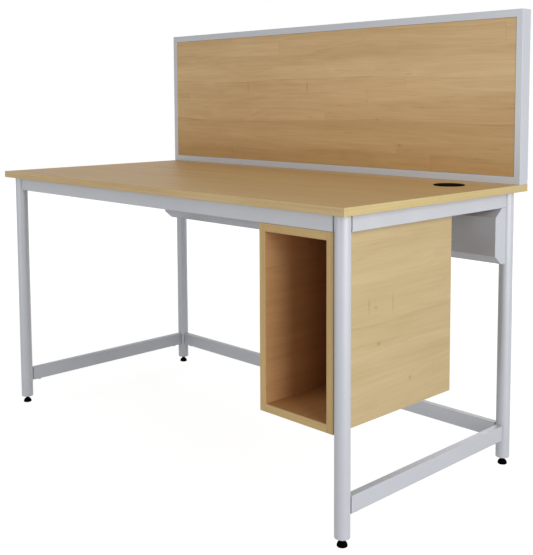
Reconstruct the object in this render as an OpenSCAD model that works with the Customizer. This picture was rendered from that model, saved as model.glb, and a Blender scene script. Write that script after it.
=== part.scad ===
// Library catalogue desk: a worktop on a steel frame with round legs, an aluminium-framed
// screen along its rear edge, an open computer bay under its right end and a cable tray
// under its rear. Sizes are in millimetres. The origin lies on the floor under the middle of
// the worktop, X runs to the user's right, Y to the back and Z up.

/* [Worktop] */
// Length of the worktop along X
top_w = 1425; // [1200:5:1800]
// Depth of the worktop along Y
top_d = 725; // [650:5:900]
// Thickness of the worktop board
top_t = 19; // [18:1:30]
// Height of the worktop's upper face above the floor
top_h = 750; // [700:5:800]
// Thickness of the worktop's edge bands
band_t = 2; // [1:0.5:3]
// Radius along the outer edges of the worktop's edge bands
band_r = 1; // [0.5:0.25:1]

/* [Grommet] */
// Distance of the cable grommet's centre from the worktop's right end
grommet_inset_x = 130; // [110:5:300]
// Distance of the cable grommet's centre from the worktop's rear edge
grommet_inset_y = 165; // [140:5:260]
// Diameter of the grommet's flange
grommet_d = 80; // [70:1:90]
// Width of the flange that rests on the worktop
grommet_lip = 3; // [2:0.5:5]
// Height of the flange above the worktop
grommet_rise = 2; // [1.5:0.5:2.5]
// Radius along the flange's outer edge
grommet_r = 0.7; // [0.3:0.1:0.7]
// Depth of the grommet's sleeve in the worktop
sleeve_depth = 15; // [10:1:17]
// Wall of the grommet's sleeve
sleeve_wall = 2; // [1.5:0.25:3]
// Width of the ledge that carries the cap
ledge_w = 3.5; // [2:0.5:5]
// Thickness of the ledge that carries the cap
ledge_t = 1.5; // [1:0.25:2]
// Thickness of the turning cap
cap_t = 3.5; // [3:0.25:5]
// Clearance round the turning cap
cap_gap = 0.3; // [0.2:0.1:0.5]
// Width of the cable slot in the cap
slot_w = 24; // [16:1:28]
// Depth of the cable slot from the cap's rim
slot_depth = 22; // [18:1:26]

/* [Legs] */
// Outside diameter of a leg
leg_dia = 36; // [32:1:42]
// Wall of a leg tube
leg_wall = 1.5; // [1:0.25:2.5]
// Distance of a leg's axis from the worktop's end
leg_inset_x = 36; // [30:1:80]
// Distance of a front leg's axis from the worktop's front edge
leg_inset_front = 37.5; // [30:0.5:60]
// Distance of a rear leg's axis from the worktop's rear edge
leg_inset_rear = 40; // [38:0.5:60]
// Height of the leg's lower end above the floor
leg_lift = 20; // [17:1:30]
// Depth of the plug that closes a leg's upper end
plug_depth = 12; // [8:1:20]
// Wall of the plug that closes a leg's upper end
plug_wall = 2; // [1.5:0.5:3]
// Clearance of the plugs inside a leg tube
plug_fit = 0.15; // [0.1:0.05:0.3]

/* [Feet] */
// Widest diameter of a foot pad
foot_d = 24.5; // [22:0.5:30]
// Diameter of a foot pad's flat base
foot_base_d = 21; // [16:1:21.5]
// Diameter of a foot pad's neck
foot_neck_d = 10.5; // [10.5:0.5:14]
// Height of the widest part of a foot pad
foot_waist = 2; // [1:0.5:4]
// Rise of a foot pad's dome above its widest part
foot_dome = 12; // [8:1:13]
// Gap between a foot pad's neck and the leg's end cap
foot_gap = 0.3; // [0.2:0.1:0.6]
// Outside diameter of the levelling stud
stud_d = 8; // [6:0.5:8]
// Length of the levelling stud
stud_len = 52; // [45:1:60]
// Length of the stud that is moulded into the foot pad
stud_sunk = 12; // [8:1:13]
// Running clearance between the stud and its thread
stud_fit = 0.08; // [0.05:0.01:0.1]
// Height of the end cap's flange below the leg tube
end_flange = 4; // [3.5:0.5:6]
// Radius along the lower edge of the end cap's flange
end_round = 1.5; // [1:0.5:3]
// Depth of the end cap inside the leg tube
end_depth = 28; // [24:1:40]

/* [Frame rails] */
// Height of a rail or stretcher
rail_h = 40; // [36:1:50]
// Width of a rail or stretcher
rail_t = 20; // [18:1:25]
// Wall of a rail or stretcher
rail_wall = 2; // [1.5:0.25:2.5]
// Outer corner radius of a rail or stretcher
rail_r = 2; // [1:0.25:2]
// Shadow gap between a rail's end and its leg
rail_slot = 2; // [1:0.5:4]
// Height of the stretchers' undersides above the floor
stretcher_lift = 69; // [60:1:200]
// Length of a spigot inside its rail
spigot_len = 50; // [40:1:60]
// Wall of a spigot
spigot_wall = 2; // [1.5:0.25:2.5]
// Clearance of a spigot inside its rail
spigot_fit = 0.3; // [0.1:0.1:0.5]
// Gap between a spigot's saddle and the leg that it is brazed to
saddle_gap = 0.1; // [0.05:0.05:0.2]
// Distance of a joint screw from the rail's end
joint_in = 25; // [15:1:30]

/* [Worktop fixings] */
// Distance of the outer fixing tabs from the middle of the long rails
tab_x = 440; // [250:10:460]
// Width of a fixing tab along its rail
tab_w = 40; // [25:1:60]
// Reach of a fixing tab from its rail
tab_d = 26; // [18:1:40]
// Thickness of a fixing tab
tab_t = 3; // [2:0.5:4]

/* [Fasteners] */
// Thread diameter of the frame bolts
bolt_d = 6; // [5:0.5:6]
// Head diameter of the frame bolts
bolt_head_d = 10.5; // [9.5:0.5:12]
// Head height of the frame bolts
bolt_head_h = 3.3; // [3:0.1:4]
// Width across the flats of a bolt's socket
socket_w = 4; // [3:0.5:5]
// Depth of a bolt's socket
socket_depth = 2; // [1.5:0.25:2.5]
// Length of a bolt beyond its last thread
bolt_over = 1; // [0.5:0.5:2]
// Shank diameter of the wood screws
screw_d = 4.5; // [3.5:0.5:5]
// Head diameter of the wood screws
screw_head_d = 9; // [8:0.5:11]
// Head height of the wood screws
screw_head_h = 2.8; // [2:0.2:3.4]
// Depth of the wood screws in the worktop
screw_bite = 13; // [10:1:15]
// Width of the cross recess in a wood screw
cross_w = 1; // [0.8:0.2:1.4]
// Length of the cross recess in a wood screw
cross_len = 5; // [4:0.5:6]
// Depth of the cross recess in a wood screw
cross_depth = 1.4; // [1:0.2:1.8]
// Diameter of a washer under a screen bolt
washer_d = 18; // [14:1:19]
// Thickness of a washer under a screen bolt
washer_t = 1.6; // [1:0.2:2]
// Body diameter of a rivet nut
rivet_d = 9; // [8.5:0.25:10]
// Length of a rivet nut
rivet_len = 14; // [10:1:16]
// Diameter of a rivet nut's swaged collar
rivet_collar_d = 12; // [11:0.5:13]
// Height of a rivet nut's swaged collar
rivet_collar_h = 4; // [3:0.5:5]
// Clearance between a fastener and its hole
hole_fit = 0.15; // [0.1:0.05:0.25]

/* [Screen] */
// Height of the screen above the worktop
screen_h = 450; // [300:10:600]
// Depth of the screen frame along Y
screen_d = 39; // [37:1:45]
// Face width of the screen's upright members
stile_w = 18; // [16:1:25]
// Face width of the screen's level members
level_w = 20; // [18:1:25]
// Wall of the screen's aluminium extrusions
extrusion_wall = 1.6; // [1.2:0.1:2]
// Outer corner radius of the screen's aluminium extrusions
extrusion_r = 0.8; // [0.4:0.1:1]
// Thickness of a screen panel
panel_t = 9; // [8:1:10]
// Setback of a screen panel behind the frame's face
panel_setback = 1; // [0.5:0.5:2]
// Clearance round a screen panel's edges
panel_gap = 0.5; // [0.2:0.1:1]
// Reach of the tongue behind the screen panels
tongue = 10; // [8:1:14]
// Distance of a screen post from the middle
post_x = 232; // [150:1:300]
// Width of a screen post
post_w = 20; // [16:1:30]
// Reach of a corner key into each member
key_len = 60; // [40:1:70]
// Clearance of a corner key inside the extrusions
key_fit = 0.2; // [0.1:0.1:0.4]
// Distance of the outer screen bolts from the screen's ends
screen_bolt_inset = 95; // [85:1:150]
// Length of a nut plate along X
nut_plate_w = 34; // [24:1:40]
// Width of a nut plate along Y
nut_plate_d = 22; // [16:1:28]
// Thickness of a nut plate
nut_plate_t = 5; // [4:0.5:6]

/* [Computer bay] */
// Outside width of the computer bay
bay_w = 228; // [200:1:260]
// Depth of the computer bay
bay_d = 436; // [380:1:480]
// Height of the computer bay
bay_h = 444; // [380:1:500]
// Thickness of the computer bay's panels
bay_t = 19; // [18:1:22]
// Thickness of the bay's front edge bands
bay_band_t = 1; // [0.5:0.5:2]
// Gap between neighbouring edge bands of the bay
bay_band_gap = 0.2; // [0.1:0.1:0.5]
// Gap between the bay and the front leg
bay_gap = 0.5; // [0.3:0.1:2]
// Height of the cable gap over the bay's back panel
bay_vent = 60; // [40:1:120]
// Distance of a bay joint from the ends of its panel
bay_joint_in = 60; // [50:1:80]
// Distance of a bay's dowel from its cam
dowel_step = 32; // [26:1:34]
// Diameter of a cam
cam_d = 15; // [12:1:16]
// Depth of a cam
cam_depth = 12.5; // [11:0.5:13]
// Distance of a cam's axis from the side panel
cam_back = 34; // [24:1:40]
// Diameter of a cam bolt
cam_bolt_d = 7; // [5:0.5:7]
// Depth of a cam bolt in the side panel
cam_bolt_in = 11; // [8:1:13]
// Gap between a cam bolt's end and its cam
cam_gap = 0.2; // [0.1:0.1:0.5]
// Diameter of a dowel
dowel_d = 8; // [6:1:10]
// Length of a dowel
dowel_len = 30; // [20:1:32]
// Distance of the bay's hanging bolts from its side panels
bay_bolt_in = 60; // [50:1:70]
// Depth of the hanging bolts' heads in the bay's top
bay_bolt_sink = 4; // [4:0.5:6]
// Clearance round a sunk bolt head
sink_fit = 0.5; // [0.25:0.25:1]
// Distance of the rear hanging bolts from the bay's rear
hanger_in = 60; // [45:1:100]
// Length of a hanger along Y
hanger_len = 60; // [40:1:80]
// Width of each flange of a hanger
hanger_flange = 30; // [26:1:36]
// Thickness of a hanger
hanger_t = 2; // [1.5:0.25:2.5]
// Distance of a hanger's wood screws from its middle
hanger_screw_step = 18; // [10:1:25]

/* [Cable tray] */
// Depth of the cable tray along Y
tray_d = 49; // [44:1:80]
// Height of the cable tray
tray_h = 146; // [120:1:180]
// Height of the tray's sloping top and bottom
tray_slope_h = 23; // [15:1:35]
// Depth of the tray's sloping top and bottom
tray_slope_d = 29; // [15:1:34]
// Thickness of the tray's sheet
tray_t = 1.5; // [1:0.25:2]
// Inner radius of the tray's bends
tray_bend = 2; // [1:0.5:3]
// Height of the lip along the tray's rear
tray_lip = 25; // [10:1:40]
// Gap between the tray and the rear legs
tray_gap = 1.5; // [1:0.5:5]
// Width of a tray lug
lug_w = 40; // [24:1:60]
// Distance of the inner tray lugs from the middle
lug_x = 190; // [120:5:200]
// Distance of the outer tray lugs from the legs' axes
lug_inset = 120; // [110:5:200]

/* [Hidden] */
$fn = 64;

// Overrun of every cut
cut = 1;
// Number of facets up a foot pad's dome
dome_steps = 8;
// Number of facets round a bend of the tray
bend_steps = 6;

BEECH = "#c8a878";
BAND = "#d2b684";
SILVER = "#c3c7cc";
ALUMINIUM = "#cdd1d6";
BLACK = "#161616";
STEEL = "#9a9da0";
DOWEL = "#d9b98a";

leg_r = leg_dia / 2;
leg_x = top_w / 2 - leg_inset_x;
leg_front_y = -top_d / 2 + leg_inset_front;
leg_rear_y = top_d / 2 - leg_inset_rear;
under_z = top_h - top_t;
rail_z = under_z - rail_h;
rail_end = leg_r + rail_slot;
rail_out_x = leg_x + rail_t / 2;
rail_in_x = leg_x - rail_t / 2;
mid_y = (leg_front_y + leg_rear_y) / 2;

grommet_x = top_w / 2 - grommet_inset_x;
grommet_y = top_d / 2 - grommet_inset_y;
grommet_hole_r = grommet_d / 2 - grommet_lip;
sleeve_r = grommet_hole_r - hole_fit;
sleeve_in_r = sleeve_r - sleeve_wall;
ledge_in_r = sleeve_in_r - ledge_w;
cap_r = sleeve_in_r - cap_gap;
cap_z = top_h + grommet_rise - cap_t;

stud_r = stud_d / 2 - stud_fit;
foot_h = leg_lift - foot_gap;
stud_z = foot_h - stud_sunk;
plug_r = leg_r - leg_wall - plug_fit;

spigot_t = rail_t - 2 * rail_wall - 2 * spigot_fit;
spigot_h = rail_h - 2 * rail_wall - 2 * spigot_fit;
spigot_z = rail_wall + spigot_fit;
joint_bolt_len = rail_wall + spigot_fit + spigot_wall + bolt_over;

screen_front_y = top_d / 2 - screen_d;
screen_mid_y = top_d / 2 - screen_d / 2;
screen_top_z = top_h + screen_h;
tongue_t = screen_d - 2 * panel_t - 2 * panel_setback;
mitre_share = level_w / stile_w;
screen_bolt_len = washer_t + top_t + extrusion_wall + nut_plate_t + bolt_over;
screen_bolt_span = top_w - 2 * screen_bolt_inset;
screen_bolt_xs = [for (i = [0 : 3]) -screen_bolt_span / 2 + i * screen_bolt_span / 3];

bay_right_x = leg_x - leg_r - bay_gap;
bay_left_x = bay_right_x - bay_w;
bay_x = (bay_left_x + bay_right_x) / 2;
bay_in_w = bay_w - 2 * bay_t;
bay_front_y = leg_front_y - rail_t / 2;
bay_rear_y = bay_front_y + bay_d;
bay_z = rail_z - bay_h;
bay_panel_y = bay_front_y + bay_band_t;
bay_panel_d = bay_d - bay_band_t;
back_h = bay_h - 2 * bay_t - bay_vent;
back_z = bay_z + bay_t;
bay_joint_ys = [bay_front_y + bay_joint_in, bay_rear_y - bay_joint_in];
back_joint_zs = [back_z + bay_joint_in, back_z + back_h - bay_joint_in];
bay_bolt_dx = bay_in_w / 2 - bay_bolt_in;
hanger_y = bay_rear_y - hanger_in;
hanger_top_x = hanger_flange - hanger_t;

tray_rear_y = leg_rear_y - leg_r - tray_gap;
tray_front_y = tray_rear_y - tray_d;
tray_z = rail_z - tray_h;
lug_xs = [-leg_x + lug_inset, -lug_x, lug_x, leg_x - lug_inset];

// Places of the fixing tabs on the rails' inner faces, each with the turn that points into the frame
tab_spots = concat(
    [for (x = [-tab_x, 0, tab_x]) [x, leg_front_y + rail_t / 2, 0]],
    [for (x = [-tab_x, 0, tab_x]) [x, leg_rear_y - rail_t / 2, 180]],
    [[-rail_in_x, mid_y, -90], [rail_in_x, mid_y, 90]]
);

// Corners of the tray's outer line, from its top flange round the front to its rear lip
tray_corners = [
    [tray_rear_y, rail_z],
    [tray_front_y + tray_slope_d, rail_z],
    [tray_front_y, rail_z - tray_slope_h],
    [tray_front_y, tray_z + tray_slope_h],
    [tray_front_y + tray_slope_d, tray_z],
    [tray_rear_y, tray_z],
    [tray_rear_y, tray_z + tray_lip]
];

function leg_y(sy) = sy < 0 ? leg_front_y : leg_rear_y;
function unit(v) = v / norm(v);
function left_of(v) = [-v.y, v.x];

// An open line moved sideways by d, with its corners mitred
function beside(p, d) = [
    for (i = [0 : len(p) - 1])
        let (
            a = i == 0 ? unit(p[1] - p[0]) : unit(p[i] - p[i - 1]),
            b = i == len(p) - 1 ? a : unit(p[i + 1] - p[i]),
            n = unit(left_of(a) + left_of(b))
        )
        p[i] + n * d / (n * left_of(a))
];

function reversed(p) = [for (i = [len(p) - 1 : -1 : 0]) p[i]];

// The arc of radius r that rounds the corner b between a and c
function bend(a, b, c, r) =
    let (
        u = unit(a - b),
        v = unit(c - b),
        half = acos(u * v) / 2,
        middle = b + unit(u + v) * r / sin(half),
        from = -unit(left_of(u)) * sign(cross(u, v)),
        sweep = (180 - 2 * half) * -sign(cross(u, v)),
        start = atan2(from.y, from.x)
    )
    [for (i = [0 : bend_steps]) let (t = start + sweep * i / bend_steps) middle + r * [cos(t), sin(t)]];

// An open line with every inner corner rounded to radius r
function bent(p, r) = concat(
    [p[0]],
    [for (i = [1 : len(p) - 2]) each bend(p[i - 1], p[i], p[i + 1], r)],
    [p[len(p) - 1]]
);

// A quarter arc from [x, y + ry] down and out to [x + rx, y], as points
function quarter(x, y, rx, ry) = [for (a = [0 : 15 : 90]) [x + rx * sin(a), y + ry * (1 - cos(a))]];

module flip_x(on) {
    if (on) mirror([1, 0, 0]) children();
    else children();
}

module flip_y(on) {
    if (on) mirror([0, 1, 0]) children();
    else children();
}

// At a leg's axis, with +X and +Y pointing into the frame
module at_leg(sx, sy, z) {
    translate([sx * leg_x, leg_y(sy), z]) flip_x(sx > 0) flip_y(sy > 0) children();
}

module swap_xy() {
    mirror([1, -1, 0]) children();
}

// At each end of the upper rails, with +X along the rail and +Y into the frame
module upper_joints() {
    for (sx = [-1, 1], sy = [-1, 1])
        at_leg(sx, sy, rail_z) {
            children();
            swap_xy() children();
        }
}

// At each end of the stretchers, with +X along the stretcher
module lower_joints() {
    for (sx = [-1, 1], sy = [-1, 1])
        at_leg(sx, sy, stretcher_lift) swap_xy() children();
    for (sx = [-1, 1])
        at_leg(sx, 1, stretcher_lift) children();
}

// At the inner face of an upper rail, with +Z into the rail
module upper_screw_spot() {
    translate([rail_end + joint_in, rail_t / 2, rail_h / 2]) rotate([90, 0, 0]) children();
}

// At the underside of a stretcher, with +Z into the stretcher
module lower_screw_spot() {
    translate([rail_end + joint_in, 0, 0]) children();
}

// A bolt with its head below z = 0 and its shank above
module bolt(length) {
    cylinder(d = bolt_d, h = length);
    translate([0, 0, -bolt_head_h])
        difference() {
            cylinder(d = bolt_head_d, h = bolt_head_h);
            translate([0, 0, -cut])
                cylinder(d = socket_w / cos(30), h = socket_depth + cut, $fn = 6);
        }
}

// The hole for a bolt that enters at z = 0
module bolt_hole(length) {
    translate([0, 0, -cut]) cylinder(d = bolt_d + 2 * hole_fit, h = length + cut);
}

// A wood screw with its head below z = 0 and its shank above
module wood_screw(length) {
    cylinder(d = screw_d, h = length);
    translate([0, 0, -screw_head_h])
        difference() {
            cylinder(d = screw_head_d, h = screw_head_h);
            for (a = [0, 90])
                rotate([0, 0, a])
                    translate([-cross_len / 2, -cross_w / 2, -cut])
                        cube([cross_len, cross_w, cross_depth + cut]);
        }
}

// The hole for a wood screw that enters at z = 0
module wood_hole(length) {
    translate([0, 0, -cut]) cylinder(d = screw_d + 2 * hole_fit, h = length + cut);
}

// The holes for the joint screws of every rail, stretcher and spigot
module joint_holes() {
    upper_joints() upper_screw_spot() bolt_hole(joint_bolt_len);
    lower_joints() lower_screw_spot() bolt_hole(joint_bolt_len);
}

// A rectangle from the origin with its corners rounded
module rounded_square(size, r) {
    translate([r, 0]) square([size.x - 2 * r, size.y]);
    translate([0, r]) square([size.x, size.y - 2 * r]);
    for (x = [r, size.x - r], y = [r, size.y - r])
        translate([x, y]) circle(r = r);
}

// A tube of the rails' section along X, centred on X and Y and standing on z = 0
module rail_tube(length) {
    translate([-length / 2, -rail_t / 2, 0])
        rotate([90, 0, 90])
            linear_extrude(height = length)
                difference() {
                    rounded_square([rail_t, rail_h], rail_r);
                    translate([rail_wall, rail_wall])
                        square([rail_t - 2 * rail_wall, rail_h - 2 * rail_wall]);
                }
}

module long_tube(sy, z) {
    translate([0, leg_y(sy), z]) rail_tube(2 * (leg_x - rail_end));
}

module side_tube(sx, z) {
    translate([sx * leg_x, mid_y, z])
        rotate([0, 0, 90])
            rail_tube(leg_rear_y - leg_front_y - 2 * rail_end);
}

// Places of the four bolts that hang the bay: two in the front rail, two in the hangers
module bay_bolt_spots() {
    for (s = [-1, 1], y = [leg_front_y, hanger_y])
        translate([bay_x + s * bay_bolt_dx, y, rail_z]) children();
}

// Places of the tray's bolts, under the rear rail
module tray_bolt_spots() {
    for (x = lug_xs)
        translate([x, leg_rear_y, rail_z]) children();
}

// At each fixing tab, with +Y pointing away from the rail and z = 0 at the worktop
module tab_frames() {
    for (s = tab_spots)
        translate([s.x, s.y, under_z]) rotate([0, 0, s.z]) children();
}

// At each hanger, with +X pointing to the bay's nearer side and z = 0 on the bay
module hanger_frames() {
    for (s = [-1, 1])
        translate([bay_x + s * bay_bolt_dx, hanger_y, rail_z]) flip_x(s < 0) children();
}

module screen_bolt_spots() {
    for (x = screen_bolt_xs)
        translate([x, screen_mid_y, under_z - washer_t]) children();
}

// At each joint of the bay: +X into a panel from a side's inner face, +Z to its cam's face
module bay_joints() {
    for (s = [-1, 1])
        translate([bay_x + s * bay_in_w / 2, 0, 0]) flip_x(s > 0) {
            for (y = bay_joint_ys) {
                translate([0, y, rail_z - bay_t / 2]) children();
                translate([0, y, bay_z + bay_t / 2]) rotate([180, 0, 0]) children();
            }
            for (z = back_joint_zs)
                translate([0, bay_rear_y - bay_t / 2, z]) rotate([-90, 0, 0]) children();
        }
}

// A cam, or its hole when it is larger and deeper, with its cross face at z = bay_t / 2
module cam(grow, over) {
    translate([cam_back, 0, bay_t / 2 - cam_depth])
        cylinder(d = cam_d + 2 * grow, h = cam_depth + over);
}

module cam_bolt(grow, reach) {
    translate([-cam_bolt_in, 0, 0])
        rotate([0, 90, 0])
            cylinder(d = cam_bolt_d + 2 * grow, h = cam_bolt_in + reach);
}

module dowel(grow) {
    translate([-dowel_len / 2, dowel_step, 0])
        rotate([0, 90, 0])
            cylinder(d = dowel_d + 2 * grow, h = dowel_len);
}

// Every bore in the bay's panels
module bay_bores() {
    bay_joints() {
        cam(hole_fit, cut);
        cam_bolt(hole_fit, cam_back);
        dowel(hole_fit);
    }
    bay_bolt_spots()
        translate([0, 0, -bay_t]) {
            bolt_hole(bay_t + cut);
            translate([0, 0, -cut])
                cylinder(d = bolt_head_d + 2 * sink_fit, h = bay_bolt_sink + cut);
        }
}

// A strip of edge band along X, with its rounded outer edges towards -Y
module band_strip(length) {
    translate([-length / 2, 0, 0])
        rotate([90, 0, 90])
            linear_extrude(height = length)
                union() {
                    translate([band_r, 0]) square([band_t - band_r, top_t]);
                    translate([0, band_r]) square([band_t, top_t - 2 * band_r]);
                    translate([band_r, band_r]) circle(r = band_r);
                    translate([band_r, top_t - band_r]) circle(r = band_r);
                }
}

// The section of a screen member: its outer face on x = 0, its tongue towards +X
module member_section(face) {
    inner_w = face - 2 * extrusion_wall;
    difference() {
        union() {
            translate([0, -screen_d / 2]) rounded_square([face, screen_d], extrusion_r);
            translate([0, -tongue_t / 2]) square([face + tongue, tongue_t]);
        }
        translate([extrusion_wall, -screen_d / 2 + extrusion_wall])
            square([inner_w, screen_d - 2 * extrusion_wall]);
        translate([face, -tongue_t / 2 + extrusion_wall])
            square([tongue - extrusion_wall, tongue_t - 2 * extrusion_wall]);
    }
}

// An upright member of the screen, from z = 0 up, mitred at both ends
module upright_member() {
    reach = stile_w + tongue;
    intersection() {
        linear_extrude(height = screen_h) member_section(stile_w);
        translate([0, screen_d, 0])
            rotate([90, 0, 0])
                linear_extrude(height = 2 * screen_d)
                    polygon([
                        [0, 0], [reach, reach * mitre_share],
                        [reach, screen_h - reach * mitre_share], [0, screen_h]
                    ]);
    }
}

// A level member of the screen along X, its outer face down, mitred at both ends
module level_member() {
    reach = level_w + tongue;
    intersection() {
        translate([top_w / 2, 0, 0])
            rotate([0, -90, 0])
                linear_extrude(height = top_w) member_section(level_w);
        translate([0, screen_d, 0])
            rotate([90, 0, 0])
                linear_extrude(height = 2 * screen_d)
                    polygon([
                        [-top_w / 2, 0], [top_w / 2, 0],
                        [top_w / 2 - reach / mitre_share, reach],
                        [-top_w / 2 + reach / mitre_share, reach]
                    ]);
    }
}

module worktop_board() {
    color(BEECH)
        difference() {
            translate([-top_w / 2 + band_t, -top_d / 2 + band_t, under_z])
                cube([top_w - 2 * band_t, top_d - 2 * band_t, top_t]);
            translate([grommet_x, grommet_y, under_z - cut])
                cylinder(r = grommet_hole_r, h = top_t + 2 * cut);
            screen_bolt_spots() bolt_hole(screen_bolt_len + cut);
            tab_frames() translate([0, tab_d / 2, 0]) wood_hole(screw_bite);
            hanger_frames()
                for (s = [-1, 1])
                    translate([hanger_top_x, s * hanger_screw_step, rail_h]) wood_hole(screw_bite);
        }
}

module worktop_band_long(sy) {
    color(BAND)
        flip_y(sy > 0) translate([0, -top_d / 2, under_z]) band_strip(top_w);
}

module worktop_band_end(sx) {
    color(BAND)
        flip_x(sx > 0)
            translate([-top_w / 2, 0, under_z])
                rotate([0, 0, -90])
                    band_strip(top_d - 2 * band_t);
}

module grommet_liner() {
    sleeve_z = top_h - sleeve_depth;
    color(BLACK)
        translate([grommet_x, grommet_y, 0])
            difference() {
                union() {
                    translate([0, 0, sleeve_z]) cylinder(r = sleeve_r, h = sleeve_depth + grommet_rise);
                    translate([0, 0, top_h])
                        rotate_extrude() {
                            square([grommet_d / 2 - grommet_r, grommet_rise]);
                            square([grommet_d / 2, grommet_rise - grommet_r]);
                            translate([grommet_d / 2 - grommet_r, grommet_rise - grommet_r])
                                circle(r = grommet_r);
                        }
                }
                translate([0, 0, sleeve_z - cut])
                    cylinder(r = ledge_in_r, h = sleeve_depth + grommet_rise + 2 * cut);
                translate([0, 0, cap_z]) cylinder(r = sleeve_in_r, h = cap_t + cut);
                translate([0, 0, sleeve_z - cut])
                    cylinder(r = sleeve_in_r, h = cap_z - ledge_t - sleeve_z + cut);
            }
}

module grommet_cap() {
    color(BLACK)
        translate([grommet_x, grommet_y, cap_z])
            difference() {
                cylinder(r = cap_r, h = cap_t);
                translate([0, cap_r - slot_depth + slot_w / 2, -cut])
                    cylinder(d = slot_w, h = cap_t + 2 * cut);
                translate([-slot_w / 2, cap_r - slot_depth + slot_w / 2, -cut])
                    cube([slot_w, slot_depth, cap_t + 2 * cut]);
            }
}

module leg(sx, sy) {
    tube_z = leg_lift + end_flange;
    color(SILVER)
        translate([sx * leg_x, leg_y(sy), tube_z])
            difference() {
                cylinder(r = leg_r, h = under_z - tube_z);
                translate([0, 0, -cut]) cylinder(r = leg_r - leg_wall, h = under_z - tube_z + 2 * cut);
            }
}

module leg_top_plugs() {
    color(BLACK)
        for (sx = [-1, 1], sy = [-1, 1])
            at_leg(sx, sy, under_z - plug_depth)
                difference() {
                    cylinder(r = plug_r, h = plug_depth);
                    translate([0, 0, -cut])
                        cylinder(r = plug_r - plug_wall, h = plug_depth - plug_wall + cut);
                }
}

module leg_end_caps() {
    color(SILVER)
        for (sx = [-1, 1], sy = [-1, 1])
            at_leg(sx, sy, leg_lift)
                rotate_extrude()
                    polygon(concat(
                        [[stud_d / 2, 0]],
                        quarter(leg_r - end_round, 0, end_round, end_round),
                        [
                            [leg_r, end_flange], [plug_r, end_flange],
                            [plug_r, end_flange + end_depth], [stud_d / 2, end_flange + end_depth]
                        ]
                    ));
}

module foot_stud(sx, sy) {
    color(STEEL)
        translate([sx * leg_x, leg_y(sy), stud_z]) cylinder(r = stud_r, h = stud_len);
}

module foot_pad(sx, sy) {
    base_r = foot_base_d / 2;
    neck_angle = acos(foot_neck_d / foot_d);
    color(BLACK)
        translate([sx * leg_x, leg_y(sy), 0])
            difference() {
                rotate_extrude()
                    polygon(concat(
                        [[0, 0]],
                        quarter(base_r, 0, foot_d / 2 - base_r, foot_waist),
                        [
                            for (i = [1 : dome_steps])
                                let (a = neck_angle * i / dome_steps)
                                [foot_d / 2 * cos(a), foot_waist + foot_dome * sin(a)]
                        ],
                        [[foot_neck_d / 2, foot_h], [0, foot_h]]
                    ));
                translate([0, 0, stud_z]) cylinder(r = stud_r + stud_fit, h = foot_h);
            }
}

module rail_front() {
    color(SILVER)
        difference() {
            long_tube(-1, rail_z);
            joint_holes();
            bay_bolt_spots() rivet_hole();
        }
}

module rail_rear() {
    color(SILVER)
        difference() {
            long_tube(1, rail_z);
            joint_holes();
            tray_bolt_spots() rivet_hole();
        }
}

module rail_side(sx) {
    color(SILVER)
        difference() {
            side_tube(sx, rail_z);
            joint_holes();
        }
}

module stretcher_rear() {
    color(SILVER)
        difference() {
            long_tube(1, stretcher_lift);
            joint_holes();
        }
}

module stretcher_side(sx) {
    color(SILVER)
        difference() {
            side_tube(sx, stretcher_lift);
            joint_holes();
        }
}

// A spigot from its leg's surface into its rail, along +X from the leg's axis
module spigot() {
    reach = rail_end + spigot_len;
    difference() {
        translate([0, -spigot_t / 2, spigot_z]) cube([reach, spigot_t, spigot_h]);
        translate([-cut, -spigot_t / 2 + spigot_wall, spigot_z + spigot_wall])
            cube([reach + 2 * cut, spigot_t - 2 * spigot_wall, spigot_h - 2 * spigot_wall]);
        translate([0, 0, -cut]) cylinder(r = leg_r + saddle_gap, h = rail_h + 2 * cut);
    }
}

module rail_spigots() {
    color(STEEL)
        difference() {
            union() {
                upper_joints() spigot();
                lower_joints() spigot();
            }
            joint_holes();
        }
}

module joint_screws() {
    color(STEEL) {
        upper_joints() upper_screw_spot() bolt(joint_bolt_len);
        lower_joints() lower_screw_spot() bolt(joint_bolt_len);
    }
}

module fixing_tabs() {
    color(SILVER)
        tab_frames()
            difference() {
                translate([-tab_w / 2, 0, -tab_t]) cube([tab_w, tab_d, tab_t]);
                translate([0, tab_d / 2, -tab_t]) wood_hole(tab_t + cut);
            }
}

module wood_screws() {
    color(STEEL) {
        tab_frames() translate([0, tab_d / 2, -tab_t]) wood_screw(tab_t + screw_bite);
        hanger_frames()
            for (s = [-1, 1])
                translate([hanger_top_x, s * hanger_screw_step, rail_h - hanger_t])
                    wood_screw(hanger_t + screw_bite);
    }
}

// A rivet nut set upwards through a wall whose underside is z = 0
module rivet_nut(wall) {
    difference() {
        union() {
            cylinder(d = rivet_d, h = rivet_len);
            translate([0, 0, wall]) cylinder(d = rivet_collar_d, h = rivet_collar_h);
        }
        translate([0, 0, -cut]) cylinder(d = bolt_d + 2 * hole_fit, h = rivet_len + 2 * cut);
    }
}

module rivet_hole() {
    translate([0, 0, -cut]) cylinder(d = rivet_d + 2 * hole_fit, h = rail_wall + 2 * cut);
}

module rivet_nuts() {
    color(STEEL) {
        tray_bolt_spots() rivet_nut(rail_wall);
        for (s = [-1, 1]) {
            translate([bay_x + s * bay_bolt_dx, leg_front_y, rail_z]) rivet_nut(rail_wall);
            translate([bay_x + s * bay_bolt_dx, hanger_y, rail_z]) rivet_nut(hanger_t);
        }
    }
}

module screen_stile(sx) {
    color(ALUMINIUM)
        flip_x(sx > 0) translate([-top_w / 2, screen_mid_y, top_h]) upright_member();
}

module screen_rail_top() {
    color(ALUMINIUM)
        translate([0, screen_mid_y, screen_top_z]) mirror([0, 0, 1]) level_member();
}

module screen_rail_bottom() {
    color(ALUMINIUM)
        difference() {
            translate([0, screen_mid_y, top_h]) level_member();
            screen_bolt_spots() bolt_hole(screen_bolt_len);
        }
}

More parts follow.
